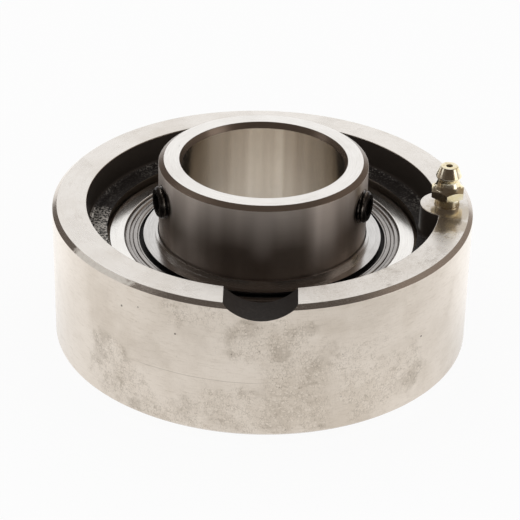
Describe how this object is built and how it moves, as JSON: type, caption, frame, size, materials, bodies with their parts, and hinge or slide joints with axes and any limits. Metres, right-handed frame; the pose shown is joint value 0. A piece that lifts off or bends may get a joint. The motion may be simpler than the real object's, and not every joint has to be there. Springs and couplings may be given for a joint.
{
  "type": "housed bearing unit",
  "caption": "Round cast-iron cartridge unit with a spherical seat, a self-aligning ball bearing insert held on its shaft by set screws, seals with slingers and a grease fitting.",
  "frame": {"origin": "middle of the inner ring's short end, which is the plane that the unit stands on", "axes": "+Z along the shaft axis towards the long end of the inner ring; +X towards the grease fitting; -Y towards the notch in the upper rim"},
  "size_m": [0.104, 0.104, 0.0492],
  "materials": {
    "turned_cast_iron": "turned and lightly oiled, with brown stains",
    "ground_bearing_steel": "ground and polished",
    "pressed_steel": "bright pressed sheet",
    "nitrile_rubber": "black moulded rubber",
    "black_oxide_steel": "black oxide, oiled",
    "yellow_zinc_plate": "steel with pale yellow zinc plating"
  },
  "bodies": {
    "housing": {"cartridge_housing": "turned_cast_iron", "grease_fitting_body": "yellow_zinc_plate", "grease_fitting_spring": "ground_bearing_steel"},
    "fitting_ball": {"grease_fitting_ball": "ground_bearing_steel"},
    "outer_ring": {"outer_ring": "ground_bearing_steel", "seal_shield_upper": "pressed_steel", "seal_shield_lower": "pressed_steel", "seal_lip_upper": "nitrile_rubber", "seal_lip_lower": "nitrile_rubber"},
    "inner_ring": {"inner_ring": "ground_bearing_steel", "slinger_upper": "pressed_steel", "slinger_lower": "pressed_steel"},
    "cage": {"cage_half_upper": "pressed_steel", "cage_half_lower": "pressed_steel", "cage_rivet_01": "pressed_steel", "cage_rivet_02": "pressed_steel", "cage_rivet_03": "pressed_steel", "cage_rivet_04": "pressed_steel", "cage_rivet_05": "pressed_steel", "cage_rivet_06": "pressed_steel", "cage_rivet_07": "pressed_steel", "cage_rivet_08": "pressed_steel", "cage_rivet_09": "pressed_steel"},
    "set_screw_right": {"set_screw_right": "black_oxide_steel"},
    "set_screw_left": {"set_screw_left": "black_oxide_steel"},
    "ball_01": {"ball_01": "ground_bearing_steel"},
    "ball_02": {"ball_02": "ground_bearing_steel"},
    "ball_03": {"ball_03": "ground_bearing_steel"},
    "ball_04": {"ball_04": "ground_bearing_steel"},
    "ball_05": {"ball_05": "ground_bearing_steel"},
    "ball_06": {"ball_06": "ground_bearing_steel"},
    "ball_07": {"ball_07": "ground_bearing_steel"},
    "ball_08": {"ball_08": "ground_bearing_steel"},
    "ball_09": {"ball_09": "ground_bearing_steel"}
  },
  "joints": [
    {"name": "insert_swivel", "type": "hinge", "parent": "housing", "child": "outer_ring", "pos_m": [0, 0, 0.019], "axis": [1, 0, 0], "range_deg": [-2, 2]},
    {"name": "inner_ring_spin", "type": "hinge", "parent": "outer_ring", "child": "inner_ring", "pos_m": [0, 0, 0.019], "axis": [0, 0, 1], "continuous": true},
    {"name": "cage_spin", "type": "hinge", "parent": "outer_ring", "child": "cage", "pos_m": [0, 0, 0.019], "axis": [0, 0, 1], "continuous": true},
    {"name": "fitting_ball_lift", "type": "slide", "parent": "housing", "child": "fitting_ball", "axis": [0, 0, 1], "range_m": [-0.0007, 0], "stiffness_N_per_m": 200, "springref_m": 0.001, "deforming": ["grease_fitting_spring"]},
    {"name": "set_screw_right_travel", "type": "slide", "parent": "inner_ring", "child": "set_screw_right", "axis": [0.9397, -0.342, 0], "range_m": [-0.0015, 0.003]},
    {"name": "set_screw_left_travel", "type": "slide", "parent": "inner_ring", "child": "set_screw_left", "axis": [-0.9397, -0.342, 0], "range_m": [-0.0015, 0.003]},
    {"name": "ball_01_spin", "type": "hinge", "parent": "cage", "child": "ball_01", "pos_m": [0.03, 0, 0.019], "axis": [0, 0, 1], "continuous": true},
    {"name": "ball_02_spin", "type": "hinge", "parent": "cage", "child": "ball_02", "pos_m": [0.02298, 0.01928, 0.019], "axis": [0, 0, 1], "continuous": true},
    {"name": "ball_03_spin", "type": "hinge", "parent": "cage", "child": "ball_03", "pos_m": [0.00521, 0.02954, 0.019], "axis": [0, 0, 1], "continuous": true},
    {"name": "ball_04_spin", "type": "hinge", "parent": "cage", "child": "ball_04", "pos_m": [-0.015, 0.02598, 0.019], "axis": [0, 0, 1], "continuous": true},
    {"name": "ball_05_spin", "type": "hinge", "parent": "cage", "child": "ball_05", "pos_m": [-0.02819, 0.01026, 0.019], "axis": [0, 0, 1], "continuous": true},
    {"name": "ball_06_spin", "type": "hinge", "parent": "cage", "child": "ball_06", "pos_m": [-0.02819, -0.01026, 0.019], "axis": [0, 0, 1], "continuous": true},
    {"name": "ball_07_spin", "type": "hinge", "parent": "cage", "child": "ball_07", "pos_m": [-0.015, -0.02598, 0.019], "axis": [0, 0, 1], "continuous": true},
    {"name": "ball_08_spin", "type": "hinge", "parent": "cage", "child": "ball_08", "pos_m": [0.00521, -0.02954, 0.019], "axis": [0, 0, 1], "continuous": true},
    {"name": "ball_09_spin", "type": "hinge", "parent": "cage", "child": "ball_09", "pos_m": [0.02298, -0.01928, 0.019], "axis": [0, 0, 1], "continuous": true}
  ],
  "couplings": [
    {"joint": "cage_spin", "follows": "inner_ring_spin", "ratio": 0.40083},
    {"joint": "ball_01_spin", "follows": "inner_ring_spin", "ratio": -2.4218},
    {"joint": "ball_02_spin", "follows": "inner_ring_spin", "ratio": -2.4218},
    {"joint": "ball_03_spin", "follows": "inner_ring_spin", "ratio": -2.4218},
    {"joint": "ball_04_spin", "follows": "inner_ring_spin", "ratio": -2.4218},
    {"joint": "ball_05_spin", "follows": "inner_ring_spin", "ratio": -2.4218},
    {"joint": "ball_06_spin", "follows": "inner_ring_spin", "ratio": -2.4218},
    {"joint": "ball_07_spin", "follows": "inner_ring_spin", "ratio": -2.4218},
    {"joint": "ball_08_spin", "follows": "inner_ring_spin", "ratio": -2.4218},
    {"joint": "ball_09_spin", "follows": "inner_ring_spin", "ratio": -2.4218}
  ]
}
